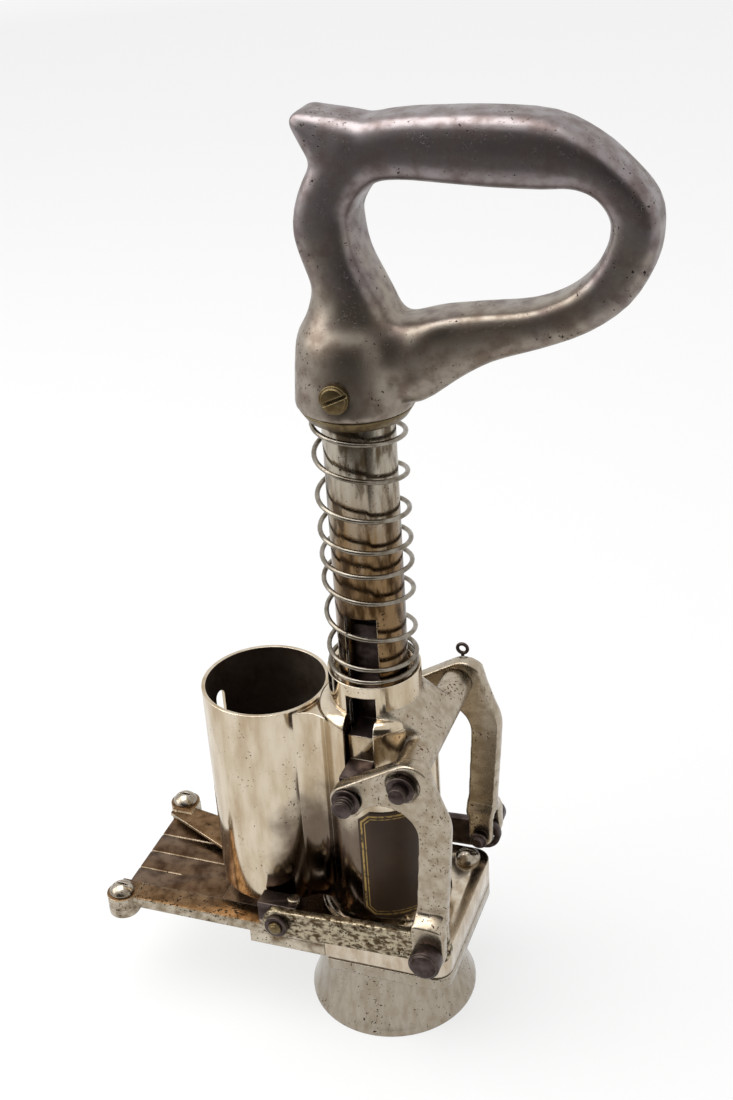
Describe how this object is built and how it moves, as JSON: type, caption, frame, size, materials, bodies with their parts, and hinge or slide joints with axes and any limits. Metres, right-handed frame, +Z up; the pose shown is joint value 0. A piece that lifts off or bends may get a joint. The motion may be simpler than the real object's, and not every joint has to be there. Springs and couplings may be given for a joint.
{
  "type": "milk bottle capper",
  "caption": "Hand-held milk bottle capper: loop grip on a sprung plunger, disc magazine beside the barrel, levers and links driving a feed slide, flared bell below.",
  "frame": {"origin": "centre of the bell mouth, on the plane the rim stands on", "axes": "+Z up along the plunger, +X from the magazine toward the grip loop, -Y the front with the handle screw"},
  "size_m": [0.211, 0.097, 0.3588],
  "materials": {
    "nickel": "worn polished nickel plate over brass",
    "nickel_worn": "pitted nickel plate",
    "label_brown": "dark brown paint with a plain gold border",
    "steel_bright": "polished steel",
    "steel_dark": "dark oiled steel",
    "tray_metal": "dull grey brown metal, worn",
    "rail_brass": "brass worn through nickel plate",
    "spring_steel": "bright spring wire",
    "tube_nickel": "nickel plate worn to brass in streaks",
    "handle_metal": "cast aluminium, tarnished",
    "brass_fitting": "dull brass",
    "lever_nickel": "matt nickel plate with rust pits",
    "pin_brass": "worn brass",
    "link_metal": "mottled worn plate"
  },
  "bodies": {
    "frame": {"body": "nickel", "label_plate": "label_brown", "bell": "nickel_worn", "base_block": "nickel_worn", "base_screws": "steel_bright", "bed_plate": "tray_metal", "front_rail": "rail_brass", "rear_rail": "rail_brass", "rail_screws": "steel_bright", "pivot_shaft": "steel_dark", "pivot_cotter": "steel_bright", "pivot_clip": "steel_dark", "main_spring": "spring_steel"},
    "plunger": {"plunger_tube": "tube_nickel", "presser": "steel_dark", "handle": "handle_metal", "handle_collar": "brass_fitting", "handle_screw": "brass_fitting"},
    "crosshead": {"crosshead": "nickel", "crosshead_studs": "steel_dark", "crosshead_washers": "steel_dark"},
    "front_lever": {"front_lever": "lever_nickel", "front_link_pin": "pin_brass"},
    "rear_lever": {"rear_lever": "lever_nickel", "rear_link_pin": "pin_brass"},
    "feed_slide": {"feed_slide": "tray_metal", "front_slide_block": "steel_dark", "rear_slide_block": "steel_dark", "slide_screws": "steel_bright", "slide_pins": "pin_brass", "slide_nuts": "steel_dark"},
    "front_link": {"front_link": "link_metal"},
    "rear_link": {"rear_link": "link_metal"}
  },
  "joints": [
    {"name": "plunger_slide", "type": "slide", "parent": "frame", "child": "plunger", "axis": [0, 0, 1], "range_m": [-0.03, 0], "stiffness_N_per_m": 400, "springref_m": 0.04, "deforming": ["main_spring"]},
    {"name": "front_lever_swing", "type": "hinge", "parent": "frame", "child": "front_lever", "pos_m": [0.0215, -0.034, 0.1295], "axis": [0, 1, 0], "range_deg": [0, 37]},
    {"name": "rear_lever_swing", "type": "hinge", "parent": "frame", "child": "rear_lever", "pos_m": [0.0215, 0.034, 0.1295], "axis": [0, 1, 0], "range_deg": [0, 37]},
    {"name": "crosshead_slide", "type": "slide", "parent": "frame", "child": "crosshead", "axis": [0, 0, 1], "range_m": [0, 0.0149]},
    {"name": "feed", "type": "slide", "parent": "frame", "child": "feed_slide", "axis": [-1, 0, 0], "range_m": [0, 0.0448]},
    {"name": "front_link_swing", "type": "hinge", "parent": "feed_slide", "child": "front_link", "pos_m": [-0.033, -0.03485, 0.0525], "axis": [0, -1, 0], "range_deg": [0, 8.92]},
    {"name": "rear_link_swing", "type": "hinge", "parent": "feed_slide", "child": "rear_link", "pos_m": [-0.033, 0.03485, 0.0525], "axis": [0, -1, 0], "range_deg": [0, 8.92]}
  ],
  "couplings": [
    {"joint": "rear_lever_swing", "follows": "front_lever_swing", "ratio": 1},
    {"joint": "crosshead_slide", "follows": "front_lever_swing", "m_per_rad": 0.023073},
    {"joint": "feed", "follows": "front_lever_swing", "m_per_rad": 0.069374},
    {"joint": "front_link_swing", "follows": "front_lever_swing", "ratio": 0.24108},
    {"joint": "rear_link_swing", "follows": "front_lever_swing", "ratio": 0.24108}
  ]
}
